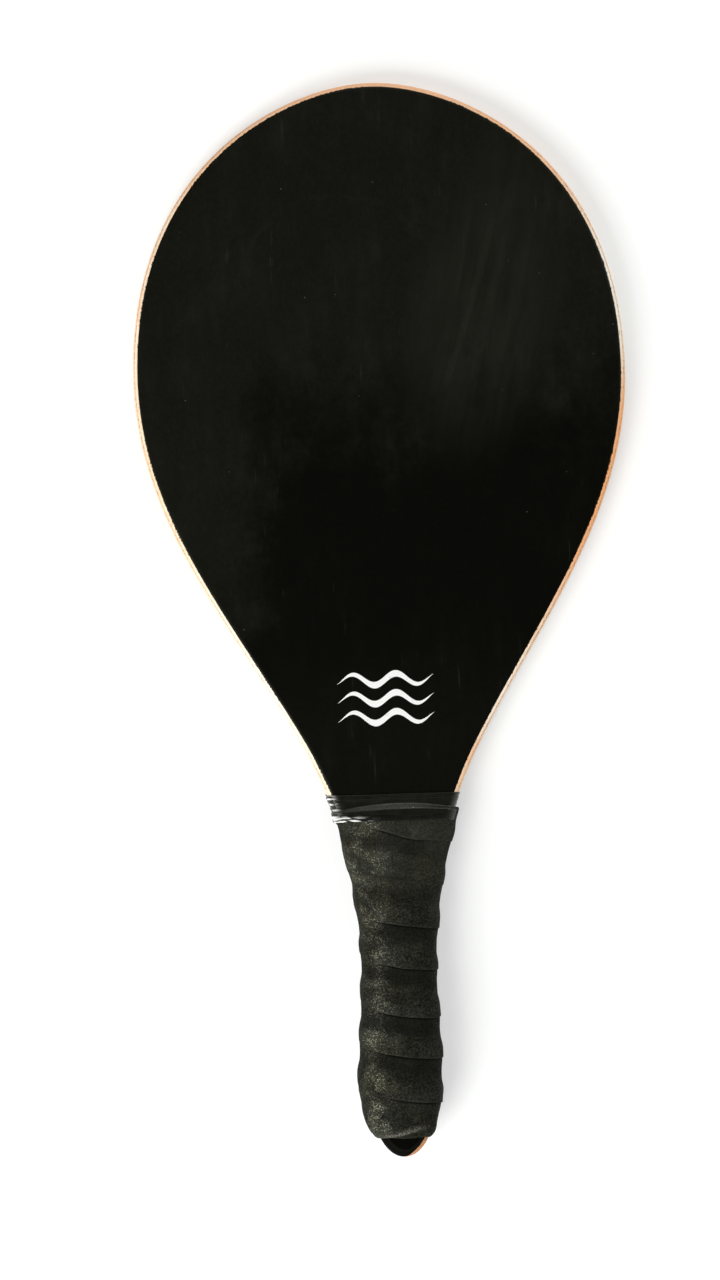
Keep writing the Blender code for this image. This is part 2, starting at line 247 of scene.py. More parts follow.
# The edge's colours, with painted light on its paler stretches: where each change starts and ends, from the
# butt and across the paddle
HEAD_CHANGE = (0.475, 0.495)
SHOULDER_CHANGE = (0.425, 0.465)
ORANGE_CHANGE = (0.335, 0.375)
ORANGE_ACROSS = (0.015, 0.045)
THROAT_ORANGE_CHANGE = (0.232, 0.292)
BAND_ORANGE_CHANGE = (0.182, 0.203)
UPPER_EDGE_LIGHT = (0.356, 0.388, 0.412, 0.442)
LOWER_EDGE_LIGHT = (0.184, 0.205, 0.205, 0.250)
EDGE_LIGHT_ACROSS = (0.010, 0.060)
LEFT_EDGE_LIGHT_CHANGE = (0.215, 0.290)
LEFT_EDGE_LIGHT_ACROSS = (-0.060, -0.015)
BUTT_DARK_CHANGE = (0.020, 0.030)
TIP_BLACK_ACROSS = (-0.0050, 0.0055)

# Heights and half widths of the glue lines
GLUE_LINES = ((VENEER_BOTTOM, 0.00034), (CROSS_PLY_BOTTOM, 0.00022))

# The marks on the facing: middles, slants in degrees and half sizes
SMEAR_MIDDLE = (0.050, 0.396)
SMEAR_SLANT = -13.0
SMEAR_HALF_SIZE = (0.030, 0.062)
STREAK_MIDDLE = (0.0434, 0.396)
STREAK_SLANT = -18.3
STREAK_EDGE = (0.0008, 0.0030)
STREAK_END = (0.030, 0.056)
RINGS_MIDDLE = (-0.018, 0.396)
RINGS_INSIDE = (0.022, 0.040)
RINGS_OUTSIDE = (0.050, 0.085)
RINGS_CHANGE = (0.375, 0.415)
# Where painted light makes the face lighter: its upper part, its left flank and its throat
FACE_LIGHT_CHANGE = (0.305, 0.385)
FLANK_SHIFT_CHANGE = (0.225, 0.335)
FLANK_EDGE = (-0.096, -0.052)
THROAT_LIGHT_CHANGE = (0.195, 0.250)
TIP_CHANGE = (0.120, 0.160)

# The printed waves
WAVES_MIDDLE = (-0.0020, 0.2130)
WAVES_HALF_LENGTH = 0.0225
WAVE_SPACING = 0.0088
WAVE_HALF_INK = 0.0016
WAVE_RISE = 0.0026
WAVE_LENGTH = 0.0200
INK_EDGE = 0.00006

# The nick in the cushioned tape
NICK_MIDDLE = (0.0089, 0.0702)
NICK_HALF_SIZE = (0.0009, 0.0003)

# The photograph's frame
IMAGE_WIDTH = 720
IMAGE_HEIGHT = 1280
METRES_PER_PIXEL = 0.0004650
ORIGIN_PIXEL = (387.4, 618.7)
PADDLE_LEAN = 1.90
CAMERA_HEIGHT = 2.60
FACE_HEIGHT_SHARE = 0.45

# The light: each lamp's name, place, aim, width, height and watts
FLOOR_LIFT = 0.44
FAR_FLOOR_LIFT = 0.56
WALL_LIGHT = 0.85
CEILING_LIGHT = 0.08
SOFTBOXES = (
    ("key_softbox", (-0.82, -1.06, 1.00), (0.0, 0.0, 0.0), 0.9, 1.2, 29.0),
    ("strip_light", (-1.15, -0.40, 0.85), (0.0, -0.1, 0.0), 0.10, 0.30, 3.0),
    ("head_softbox", (0.30, 1.40, 0.95), (0.0, 0.0, 0.0), 1.2, 0.56, 4.6),
    ("right_softbox", (1.20, 0.62, 0.85), (0.0, 0.1, 0.0), 0.8, 0.8, 7.0),
)


def own_frame():
    """Matrix from the paddle's own frame to the table's, from the mount on its front face."""
    front = next(mount for mount in frame["record"]["mounts"] if mount["name"] == "blade_front")
    up = Vector(front["axis"]).normalized()
    across = Vector((1.0, 0.0, 0.0))
    along = up.cross(across)
    corner = Vector(front["pos_m"]) - along * MOUNT_FROM_BUTT - up * BLADE_HALF_THICKNESS
    return Matrix.Translation(corner) @ Matrix((across, along, up)).transposed().to_4x4()


LAID = own_frame()


# Easing of numbers

def ease(share):
    """Goes smoothly from 0 to 1 as the share does, and stays there beyond both ends."""
    share = min(max(share, 0.0), 1.0)
    return share * share * (3.0 - 2.0 * share)


def hump(place, start, rise, end, fall_off):
    """Rises to 1 from a start, and falls back to 0 by an end."""
    return ease((place - start) / rise) * ease((end - place) / fall_off)


def bell(away, reach):
    return math.exp(-((away / reach) ** 2))


def ripple(phase):
    """A sine that goes from 0 to 1."""
    return 0.5 + 0.5 * math.sin(phase)


# Handling of objects

def pick(*things):
    bpy.ops.object.select_all(action="DESELECT")
    for thing in things:
        thing.select_set(True)
    bpy.context.view_layer.objects.active = things[-1]


def copy_of(thing, name):
    """A copy with a mesh of its own."""
    twin = thing.copy()
    twin.data = thing.data.copy()
    twin.name = name
    twin.data.name = name
    bpy.context.scene.collection.objects.link(twin)
    return twin


def weld(piece, merge_distance, close=False):
    """Merges a mesh's doubles, closes its ends where that is asked, and turns its faces outwards."""
    pick(piece)
    bpy.ops.object.mode_set(mode="EDIT")
    bpy.ops.mesh.select_all(action="SELECT")
    bpy.ops.mesh.remove_doubles(threshold=merge_distance)
    if close:
        bpy.ops.mesh.fill_holes(sides=0)
    bpy.ops.mesh.normals_make_consistent(inside=False)
    bpy.ops.object.mode_set(mode="OBJECT")


def finish_piece(piece, material, nodes):
    """Gives a piece its finish, puts it where the paddle lies, and lets it stand for CAD nodes."""
    piece.data.materials.clear()
    piece.data.materials.append(material)
    piece.matrix_world = LAID
    pick(piece)
    bpy.ops.object.transform_apply(location=True, rotation=True, scale=True)
    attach(piece, "root")
    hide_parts(*nodes)
    return piece


# Outline

def right_half_knots():
    """Knots of the right half from head to tip: the point, and its handles up and down."""
    flank = Vector((math.sin(math.radians(FLANK_ANGLE)), math.cos(math.radians(FLANK_ANGLE))))
    across = Vector((1.0, 0.0))
    along = Vector((0.0, 1.0))
    places = (
        (Vector((0.0, PADDLE_LENGTH)), -across, HEAD_CROWN_PULL, HEAD_CROWN_PULL),
        (Vector((HEAD_HALF_WIDTH, PADDLE_LENGTH - WIDEST_BELOW_HEAD)), along,
         SHOULDER_PULL, LOWER_BLADE_PULL),
        (Vector((FLANK_HALF_WIDTH, FLANK_FROM_BUTT)), flank, FLANK_UPPER_PULL, FLANK_LOWER_PULL),
        (Vector((WAIST_HALF_WIDTH, WAIST_FROM_BUTT)), along, WAIST_UPPER_PULL, WAIST_LOWER_PULL),
        (Vector((SWELL_HALF_WIDTH, SWELL_FROM_BUTT)), along, SWELL_UPPER_PULL, SWELL_LOWER_PULL),
        (Vector((0.0, 0.0)), across, TIP_PULL, TIP_PULL),
    )
    return [(point, point + way * up, point - way * down) for point, way, up, down in places]


def half_outline():
    """Points of the right half's edge, from the tip of the butt up to the head."""
    knots = right_half_knots()
    points = []
    for upper, lower in zip(knots, knots[1:]):
        stretch = interpolate_bezier(upper[0], upper[2], lower[1], lower[0], OUTLINE_STEPS)
        points.extend(stretch[1:] if points else stretch)
    points.reverse()
    return np.array([p.y for p in points]), np.array([p.x for p in points])


EDGE_PLACES, EDGE_WIDTHS = half_outline()


def half_width(y):
    return float(np.interp(y, EDGE_PLACES, EDGE_WIDTHS))


# The plywood and its facings

def mirrored(point):
    return Vector((-point.x, point.y))


def make_blank():
    """The whole blade as one block: the outline with both its rims rounded over."""
    right = right_half_knots()
    left = [(mirrored(point), mirrored(down), mirrored(up)) for point, up, down in right[-2:0:-1]]
    bpy.ops.curve.primitive_bezier_circle_add(radius=HEAD_HALF_WIDTH)
    blank = bpy.context.active_object
    blank.name = "blank"
    curve = blank.data
    curve.dimensions = "2D"
    curve.fill_mode = "BOTH"
    curve.resolution_u = CURVE_STEPS
    curve.extrude = BLADE_HALF_THICKNESS - EDGE_ROUND
    curve.bevel_depth = EDGE_ROUND
    curve.bevel_resolution = RIM_STEPS
    curve.offset = -EDGE_ROUND
    spline = curve.splines[0]
    spline.bezier_points.add(len(right) + len(left) - len(spline.bezier_points))
    for knot, (point, before, after) in zip(spline.bezier_points, right + left):
        knot.handle_left_type = "FREE"
        knot.handle_right_type = "FREE"
        knot.co = point.to_3d()
        knot.handle_left = before.to_3d()
        knot.handle_right = after.to_3d()
    pick(blank)
    bpy.ops.object.convert(target="MESH")
    blank = bpy.context.active_object
    weld(blank, 0.00001)
    return blank


def keep_slice(piece, bottom, top):
    """Cuts away what lies above and below two heights, and closes the cuts."""
    pick(piece)
    for height, inner, outer in ((top, False, True), (bottom, True, False)):
        if abs(height) < BLADE_HALF_THICKNESS:
            bpy.ops.object.mode_set(mode="EDIT")
            bpy.ops.mesh.select_all(action="SELECT")
            bpy.ops.mesh.bisect(plane_co=(0.0, 0.0, height), plane_no=(0.0, 0.0, 1.0), use_fill=True,
                                clear_inner=inner, clear_outer=outer)
            bpy.ops.object.mode_set(mode="OBJECT")
    bpy.ops.object.shade_smooth_by_angle(angle=math.radians(35.0))
    for face in piece.data.polygons:
        if abs(face.normal.z) > 0.9999:
            face.use_smooth = False


def make_blade(wood, cross_wood, facing):
    """The five veneers of the core and the two facings, each sliced from one rounded block."""
    blank = make_blank()
    heights = (FACING_BOTTOM, VENEER_BOTTOM, CROSS_PLY_BOTTOM,
               -CROSS_PLY_BOTTOM, -VENEER_BOTTOM, -FACING_BOTTOM)
    for number, (top, bottom) in enumerate(zip(heights, heights[1:]), start=1):
        crosswise = number % 2 == 0
        ply = copy_of(blank, f"veneer_{number}")
        keep_slice(ply, bottom + GLUE_GAP, top - GLUE_GAP)
        finish_piece(ply, cross_wood if crosswise else wood,
                     [f"core_ply_{number}"])
    for side, bottom, top in (("front", FACING_BOTTOM, BLADE_HALF_THICKNESS),
                              ("back", -BLADE_HALF_THICKNESS, -FACING_BOTTOM)):
        sheet = copy_of(blank, f"{side}_facing")
        keep_slice(sheet, bottom, top)
        finish_piece(sheet, facing, [f"{side}_laminate"])
    bpy.data.objects.remove(blank, do_unlink=True)


# The handle's form, on which the winding and the band lie

def cheek_share(y):
    nose = math.sin(min(max((y - CHEEK_START) / CHEEK_NOSE, 0.0), 1.0) * math.pi / 2)
    return nose * ease((CHEEK_END - y) / CHEEK_RAMP)


def squared_circle(angle, squareness):
    """Point at an angle of a unit circle squared up by an exponent: 2 is round, and more is squarer."""
    cosine = math.cos(angle)
    sine = math.sin(angle)
    size = (abs(cosine) ** squareness + abs(sine) ** squareness) ** (1.0 / squareness)
    return cosine / size, sine / size


def handle_point(angle, y):
    """A point of the seat's section: a slab with rounded edges in the blade, an oval in the grip."""
    share = cheek_share(y)
    flatness = (1.0 - share) ** 2
    squareness = HANDLE_SQUARENESS + (BLADE_SQUARENESS - HANDLE_SQUARENESS) * flatness
    edge = (EDGE_ROUND + SEAT_GAP) * flatness
    wide = half_width(y) + SEAT_GAP - edge
    thick = BLADE_HALF_THICKNESS + CHEEK_HEIGHT * share + SEAT_GAP - edge
    across, through = squared_circle(angle, squareness)
    out_x = math.copysign(abs(across) ** (squareness - 1.0), across) / wide
    out_z = math.copysign(abs(through) ** (squareness - 1.0), through) / thick
    reach = math.hypot(out_x, out_z)
    return Vector((wide * across + edge * out_x / reach, y, thick * through + edge * out_z / reach))


def seat_frame(angle, y):
    """The point of the seat at an angle and a place along the handle, and the way out of it."""
    step = 0.0005
    turn_step = 0.02
    around = handle_point(angle + turn_step, y) - handle_point(angle - turn_step, y)
    along = handle_point(angle, y + step) - handle_point(angle, y - step)
    return handle_point(angle, y), along.cross(around).normalized()


def side_reach(angle):
    """1 at both sides of the handle, 0 on the middle of its faces."""
    return math.cos(angle) ** 2


def side_share(angle, side, reach):
    """1 at an angle of the handle, such as its left side, and falling to 0 away from there."""
    away = math.atan2(math.sin(angle - side), math.cos(angle - side))
    return bell(away, reach)


def place_across(angle):
    """Place across the slab under the band: 1 at its right side, and -1 at its left side."""
    return squared_circle(angle, BLADE_SQUARENESS)[0]


# The winding

def by_turn(values, turn):
    """A value held over each turn's front half, which goes to the next one behind the handle."""
    whole = math.floor(turn)
    first = min(max(whole - FIRST_LISTED_TURN, 0), len(values) - 1)
    second = min(first + 1, len(values) - 1)
    return (values[first] + (values[second] - values[first]) * ease((turn - whole) * 2.0 - 1.0)) / 1000


def lower_edge(turn):
    """Place of the tape's lower edge along the handle."""
    even = FIRST_RIGHT_EDGE + TAPE_PITCH * turn
    stray = EDGE_STRAY * noise(Vector((turn * 9.0, 3.7, 0.0)))
    rise = LAST_RISE * ease((turn - LAST_RISE_TURN) / LAST_RISE_RAMP)
    sag = by_turn(EDGE_SAGS, turn) * math.sin(math.tau * turn)
    return even + by_turn(EDGE_DRIFTS, turn) - sag + stray + rise


def winding_end(angle):
    """Where the winding is cut off under the band: highest in the middle of both faces."""
    across = place_across(angle)
    return GRIP_END - CUT_BELOW_END + CUT_SLANT * across + CUT_CROWN * (1.0 - across * across)


def tape_edges(turn, angle):
    """Both edges of the tape, as it is trimmed at the butt and under the band."""
    low = lower_edge(turn)
    return max(low, GRIP_START), min(low + TAPE_WIDTH, winding_end(angle))


def edge_softness(turn):
    """0 where the tape's lower edge stands up as a step, 1 where it is pressed flat."""
    share = turn - math.floor(turn)
    starts = SOFT_FROM[min(max(math.floor(turn), 0), len(SOFT_FROM) - 1)]
    soft = hump(share, starts, SOFT_RISE, SOFT_UNTIL, SOFT_FALL)
    if turn > LAST_RISE_TURN - LAST_EDGE_STARTS:
        soft = max(ease((share - 0.305) / 0.030), ease((0.195 - share) / 0.070), LAST_EDGE_SOFTNESS)
    pressed = 1.0 - ease(abs(turn - PRESSED_TURN) / PRESSED_REACH - 0.6)
    return max(soft * SOFTNESS, pressed)


def round_off(distance, reach, drop):
    """How far a rounded edge falls below the face, at a distance from the edge."""
    share = 1.0 - min(max(distance / reach, 0.0), 1.0)
    return drop * (1.0 - math.sqrt(1.0 - share * share))


def tape_top(turn, y):
    """Height of the tape's outer face over the seat."""
    angle = math.tau * turn
    sides = side_reach(angle)
    left = max(-math.cos(angle), 0.0) ** 2
    started = ease((turn - FIRST_TURN - 1.0 + START_FADE_TURNS) / START_FADE_TURNS)
    padding = SWELL_FACE_PAD * max(math.sin(angle), 0.0) + SWELL_SIDE_PAD * sides
    height = VALLEY_HEIGHT + hump(y, *SWELL_PADDING) * padding
    height -= SIDE_TENSION * sides + BACK_PRESS * ease(-math.sin(angle) * 1.5)
    last_high = lower_edge(turn - 1.0) + TAPE_WIDTH
    height += started * LAP_HEIGHT * (1.0 - ease((y - last_high + LAP_LEAD) / LAP_RAMP))
    if turn + 1.0 < LAST_TURN:
        next_low = lower_edge(turn + 1.0)
        height += APPROACH_HEIGHT * ease((y - next_low + APPROACH_REACH) / APPROACH_REACH)
        tucked = ease((y - next_low) / (TAPE_WIDTH - TAPE_PITCH))
        height += (TUCKED_HEIGHT - height) * tucked
    step_reach = STEP_REACH + SOFT_REACH * edge_softness(turn)
    rim = round_off(y - lower_edge(turn), step_reach, STEP_DROP) * started
    rim += round_off(y - GRIP_START, BUTT_REACH, BUTT_DROP + BUTT_SIDE_DROP * sides + BUTT_SIDE_DROP * left)
    rim += round_off(y - GRIP_START, LIP_REACH, LIP_DROP)
    rim += round_off(winding_end(angle) - y, CUT_REACH, CUT_DROP)
    along = turn * LENGTH_OF_TURN
    lumps = sum(size * noise(Vector((along * round_cells, y * cells, seed)))
                for size, round_cells, cells, seed in LUMPS)
    squeezed = LEFT_SQUEEZE * left * ease((y - SQUEEZE_START) / SQUEEZE_RAMP)
    return (height - rim + lumps) * (1.0 - squeezed)


def tape_bottom(turn, y):
    """Height of the tape's inner face: on the turn below it, and then on the seat."""
    limit = tape_top(turn, y) - LEAST_THICKNESS
    if turn - 1.0 < FIRST_TURN:
        return min(0.0, limit)
    last_high = min(lower_edge(turn - 1.0) + TAPE_WIDTH, winding_end(math.tau * turn))
    if y > last_high:
        settled = ease((y - last_high) / SETTLING_REACH)
        return min(tape_top(turn - 1.0, last_high) * (1.0 - settled), limit)
    return min(tape_top(turn - 1.0, y) + LAP_GAP, limit)


def place_at_fold(point):
    """How far along the fold at the butt a point lies, as a share of it, and how far above it."""
    offset = Vector((point.x, point.y)) - FOLD_START
    share = offset.dot(FOLD_WAY) / FOLD_WAY.length_squared
    height = (offset - FOLD_WAY * share).length
    return share, -height if offset.cross(FOLD_WAY) > 0.0 else height


def fold_at_butt(point):
    """The slanting fold on the front of the butt: a ridge, and a hollow facet below it."""
    if point.z < 0.0:
        return 0.0
    share, height = place_at_fold(point)
    ridge = RIDGE_HEIGHT * bell(height, RIDGE_REACH)
    return hump(share, *FOLD_HUMP) * (ridge - FACET_DEPTH * ease(-height / FACET_REACH))


def fold_crest(point):
    """1 along the crest of the fold at the butt, and 0 away from it."""
    if point.z < 0.0:
        return 0.0
    share, height = place_at_fold(point)
    return bell(height, CREST_REACH) * hump(share, *CREST_HUMP)


def sway(y):
    """How far the winding bulges to the right."""
    to_left = BUTT_SWAY * bell(y - SWELL_FROM_BUTT, BUTT_SWAY_REACH)
    return TOP_SWAY - SWAY_CHANGE * ease((SWAY_FROM - y) / SWAY_RAMP) - to_left


def highlight_stripe_share(angle, y):
    """1 on the stripe of painted highlight on the front's left."""
    shift = HIGHLIGHT_BUTT_SHIFT * ease((0.036 - y) / 0.016)
    for amount, middle, reach in HIGHLIGHT_SHIFTS:
        shift += amount * bell(y - middle, reach)
    return side_share(angle, math.pi * (HIGHLIGHT_MIDDLE + shift), HIGHLIGHT_REACH)


def closed_section(rows):
    """Points, flat places and marks of one section, from rows of these three, with the first again."""
    points, flat, marks = (list(column) for column in zip(*rows, rows[0]))
    return points, flat, marks


def tape_section(turn):
    """The tape's section: up its outer face, then down its inner one."""
    angle = math.tau * turn
    low, high = tape_edges(turn, angle)
    next_low = lower_edge(turn + 1.0) if turn + 1.0 < LAST_TURN else 1.0
    steps = (1.0 - edge_softness(turn + 1.0), 1.0 - edge_softness(turn))
    rows = []
    for outer, offsets in ((True, OUTER_OFFSETS), (False, INNER_OFFSETS)):
        for offset in offsets:
            y = low + (high - low) * offset / 1000 / TAPE_WIDTH
            seat, outward = seat_frame(angle, y)
            fold = fold_at_butt(seat)
            if outer:
                point = seat + outward * (tape_top(turn, y) + fold) + Vector((sway(y), 0.0, 0.0))
                # Painted highlight marks: the fold's crest and the stripe on the front's left
                painted_light_marks = (fold_crest(seat), highlight_stripe_share(angle, y))
            else:
                point = seat + outward * (tape_bottom(turn, y) + min(fold, 0.0))
                painted_light_marks = (0.0, 0.0)
            rows.append((point, y - lower_edge(turn), (next_low - y, *steps, *painted_light_marks)))
    return closed_section(rows)


def stations(first, last, per_turn):
    """Even places along a winding, in turns, from its start to its end."""
    count = math.ceil((last - first) * per_turn)
    return [first + (last - first) * i / count for i in range(count + 1)]


def wind_strip(name, sections, mark_names):
    """A closed strip from a plane grid: its rows become the sections, and its ends are closed."""
    columns = len(sections[0][0])
    bpy.ops.mesh.primitive_grid_add(x_subdivisions=columns - 1, y_subdivisions=len(sections) - 1, size=1.0)
    strip = bpy.context.active_object
    strip.name = name
    strip.data.name = name
    mesh = strip.data
    places = np.array([point for points, _, _ in sections for point in points], float)
    mesh.vertices.foreach_set("co", places.ravel())
    middles = np.array([np.mean([tuple(point) for point in points], axis=0) for points, _, _ in sections])
    lengths = np.concatenate([[0.0], np.cumsum(np.linalg.norm(np.diff(middles, axis=0), axis=1))])
    flat_places = np.array([(length, place) for length, (_, flat, _) in zip(lengths, sections)
                            for place in flat], float)
    marks = np.array([mark for section in sections for mark in section[2]], float)
    for number, mark_name in enumerate(mark_names):
        layer = mesh.attributes.new(mark_name, "FLOAT", "POINT")
        layer.data.foreach_set("value", np.ascontiguousarray(marks[:, number]))
    corners = np.empty(len(mesh.loops), int)
    mesh.loops.foreach_get("vertex_index", corners)
    mesh.uv_layers[0].data.foreach_set("uv", flat_places[corners].ravel())
    mesh.update()
    weld(strip, 0.0000005, close=True)
    bpy.ops.object.shade_smooth_by_angle(angle=math.radians(50.0))
    return strip


def make_grip_tape(material):
    turns = stations(FIRST_TURN, LAST_TURN, TAPE_STATIONS_PER_TURN)
    strip = wind_strip("cushion_tape", [tape_section(turn) for turn in turns], MARKS_OF_TAPE)
    return finish_piece(strip, material, ["grip_tape"])


# The band

def winding_top(angle, y):
    """Height of the winding's outer face over the seat, and 0 where there is no tape."""
    top = 0.0
    share = (angle / math.tau) % 1.0
    for whole in range(FIRST_TURN_UNDER_BAND, math.ceil(LAST_TURN) + 1):
        turn = whole + share
        low, high = tape_edges(turn, angle)
        if turn <= LAST_TURN and low <= y <= high:
            top = max(top, tape_top(turn, y))
    return top


def under_band(angle, y):
    """Height of what the band lies on, eased over the step from the blade to the winding."""
    winding = winding_end(angle)
    place = min(y, winding - FIRM_BELOW_CUT)
    tops = [winding_top(angle + SMOOTHING_ANGLE * i, place) for i in (-2, -1, 0, 1, 2)]
    height = sum(tops) / len(tops)
    climb = CLIMB_AT_SIDES + CLIMB_IN_MIDDLE * (1.0 - place_across(angle) ** 2)
    return height * (1.0 - ease((y - winding + CLIMB_LEAD) / climb))


def band_wrinkles(turn, y, from_edge):
    """Stretch folds round the sides of the band, and the puckered lift of its lower edge at the left."""
    angle = math.tau * turn
    left = side_share(angle, math.pi, 0.55)
    right = side_share(angle, 0.0, 0.32)
    run = 1.6 * noise(Vector((angle * 1.3, y * 160.0, 2.0)))
    folds = ripple(math.tau * y / FOLD_SPACING + run + angle * 0.8)
    fine = ripple(math.tau * y / FINE_FOLD_SPACING - run * 2.0 + angle * 1.7)
    lift = ease(1.0 - from_edge / LIFTED_EDGE) * side_share(angle, math.pi * 0.72, 0.34)
    puckers = ripple(angle * 17.0 + 1.2)
    faint = FAINT_FOLDS * noise(Vector((angle * 3.0, y * 700.0, 5.0)))
    return (left * (LEFT_FOLDS[0] * folds + LEFT_FOLDS[1] * fine)
            + right * (RIGHT_FOLDS[0] * folds + RIGHT_FOLDS[1] * fine)
            + lift * (EDGE_LIFT + PUCKER_LIFT * puckers) + faint)


def glint_grain(angle, y, near, middle, reach, gain, round_cells, cells, seed, threshold, ramp):
    """1 on the grains of one of the places where painted glints whiten the vinyl."""
    share = side_share(angle, math.pi * middle, reach) * near
    grain = noise(Vector((angle * round_cells, y * cells, seed)))
    return ease(share * gain) * ease((grain - threshold) / ramp)


def glint_share(turn, y, from_edge):
    """1 where painted glints whiten the vinyl: on its lower edge's puckers, its left corner and right
    flank.
    """
    angle = math.tau * turn
    # Painted glints on the puckers of the lower edge, on the left corner and on the right flank
    puckers = glint_grain(angle, y, ease(1.0 - from_edge / PUCKER_GLINT_EDGE), *PUCKER_GLINTS)
    corner_glints = glint_grain(angle, y, 1.0, *CORNER_GLINTS)
    glint = FLANK_GLINT_LEVEL * glint_grain(angle, y, 1.0, *FLANK_GLINTS)
    return max(puckers, corner_glints, glint)


def band_edges(turn):
    """The band's lower edge and its width: its second lap is drawn out narrower, and its edge waves."""
    wave = VINYL_WAVE * (math.sin(math.tau * turn * 2.0 + 0.6) + noise(Vector((turn * 6.0, 0.4, 9.0))))
    wave += VINYL_TILT * math.cos(math.tau * turn)
    narrowed = ease((turn - VINYL_NARROWING_TURN) / 0.4)
    return VINYL_LOWER_EDGE + wave, VINYL_WIDTH - VINYL_NARROWING * narrowed


def band_section(turn):
    """The band's section: up its outer face, then down its inner one."""
    angle = math.tau * turn
    low, width = band_edges(turn)
    layer = VINYL_THICKNESS * (turn - VINYL_FIRST_TURN)
    rows = []
    faces = ((range(VINYL_STEPS + 1), VINYL_THICKNESS * 0.95), (range(VINYL_STEPS, -1, -2), 0.0))
    for places, lift in faces:
        for i in places:
            from_edge = width * i / VINYL_STEPS
            y = low + from_edge
            seat, outward = seat_frame(angle, y)
            height = under_band(angle, y) + layer + band_wrinkles(turn, y, from_edge) + lift
            rows.append((seat + outward * height, VINYL_WIDTH * i / VINYL_STEPS,
                         (glint_share(turn, y, from_edge),)))
    return closed_section(rows)


def make_finishing_band(material):
    turns = stations(VINYL_FIRST_TURN, VINYL_LAST_TURN, VINYL_STATIONS_PER_TURN)
    strip = wind_strip("vinyl_band", [band_section(turn) for turn in turns], ("painted_glints",))
    return finish_piece(strip, material, ["finishing_tape"])


# Shader nodes

EVEN = (1.0, 1.0, 1.0)


def new_material(name):
    material = bpy.data.materials.new(name)
    material.use_nodes = True
    return material, material.node_tree, material.node_tree.nodes["Principled BSDF"]


def is_socket(value):
    return isinstance(value, bpy.types.NodeSocket)


def plug(node, key, value):
    """Links a node's socket to another one, or sets it. Colours are given without their alpha."""
    socket = node.inputs[key]
    if is_socket(value):
        node.id_data.links.new(value, socket)
    else:
        socket.default_value = (*value, 1.0) if socket.type == "RGBA" else value


def put(kind, sockets=None, tree=None, **settings):
    """A shader node with its settings and sockets, in a tree or in that of a socket linked to it."""
    sockets = sockets or {}
    tree = tree or next(value.id_data for value in sockets.values() if is_socket(value))
    made = tree.nodes.new("ShaderNode" + kind)
    for key, value in settings.items():
        setattr(made, key, value)
    for key, value in sockets.items():
        plug(made, key, value)
    return made


def sums(operation, *values):
    return put("Math", dict(enumerate(values)), operation=operation).outputs[0]


def chain(operation, first, *others):
    """Takes up one value after another, two at a time."""
    for other in others:
        first = sums(operation, first, other)
    return first


def product(*values):
    return chain("MULTIPLY", *values)


def total(*values):
    return chain("ADD", *values)


def most(*values):
    return chain("MAXIMUM", *values)


def less(value, taken):
    return sums("SUBTRACT", value, taken)


def rest(share):
    return less(1.0, share)


def absolute(value):
    return sums("ABSOLUTE", value)


def swing(pattern, reach):
    """A pattern's swing about its middle, one half, times a reach."""
    return product(less(pattern, 0.5), reach)


def fade(value, low, high, to_low=0.0, to_high=1.0):
    """A smooth step of a value between two limits."""
    sockets = {"Value": value, "From Min": low, "From Max": high, "To Min": to_low, "To Max": to_high}
    return put("MapRange", sockets, interpolation_type="SMOOTHSTEP").outputs[0]


def fall(value, low, high, level=1.0):
    """A smooth step of a value down to 0."""
    return fade(value, low, high, level, 0.0)


def oval(across, up, half_width, half_height):
    """Squared distance from the middle of an oval: 1 on its rim."""
    across = sums("DIVIDE", across, half_width)
    up = sums("DIVIDE", up, half_height)
    return total(product(across, across), product(up, up))


def mix(share, first, second, blend="MIX"):
    sockets = {0: share, 6: first, 7: second}
    made = put("Mix", sockets, data_type="RGBA", blend_type=blend, clamp_factor=True)
    return made.outputs[2]


def coats(body, *layers):
    """Lays one coat of colour after another over a body, each as thickly as its share."""
    for share, coat in layers:
        body = mix(share, body, coat)
    return body


def axes_of(vector):
    return put("SeparateXYZ", {"Vector": vector}).outputs


def mark(tree, name):
    """A mark on the points of a wound strip."""
    return put("Attribute", tree=tree, attribute_name=name).outputs["Fac"]


def paddle_coordinates(tree):
    """Object coordinates turned into the paddle's own frame, so that patterns lie square in it."""
    place = put("TexCoord", tree=tree).outputs["Object"]
    sockets = {"Vector": place, "Location": LAID.to_translation(), "Rotation": LAID.to_euler()}
    return put("Mapping", sockets, vector_type="TEXTURE").outputs[0]


def about(place, middle, slant=0.0):
    """Coordinates about a mark on the face, turned to lie along it."""
    sockets = {"Vector": place, "Location": (*middle, 0.0), "Rotation": (0.0, 0.0, math.radians(slant))}
    return put("Mapping", sockets, vector_type="TEXTURE").outputs[0]


def cloud(vector, scale, stretch=EVEN, detail=3.0, roughness=0.5, shift=(0.0, 0.0, 0.0)):
    """Noise over the surface. Its scale is in cells a metre, and stretch squeezes them."""
    placed = put("Mapping", {"Vector": vector, "Scale": stretch, "Location": shift}).outputs[0]
    sockets = {"Vector": placed, "Scale": scale, "Detail": detail, "Roughness": roughness}
    return put("TexNoise", sockets).outputs[0]


def grains(place, scale, core, rim, rare, common):
    """Round grains in cells of a scale, faded from core to rim, in the cells chosen from rare to common."""
    cells = put("TexVoronoi", {"Vector": place, "Scale": scale}, feature="F1").outputs
    chosen = fade(axes_of(cells["Color"])[0], rare, common)
    return product(fall(cells["Distance"], core, rim), chosen)


def set_finish(shader, body, rough, relief, strength, depth, specular=0.5, tint=EVEN):
    """Plugs a colour, a roughness, a relief and the level and tint of the gloss into a shader."""
    bump = put("Bump", {"Height": relief, "Strength": strength, "Distance": depth})
    for key, value in (("Base Color", body), ("Roughness", rough), ("Normal", bump.outputs[0]),
                       ("Specular IOR Level", specular), ("Specular Tint", tint)):
        plug(shader, key, value)


# Varnished wood

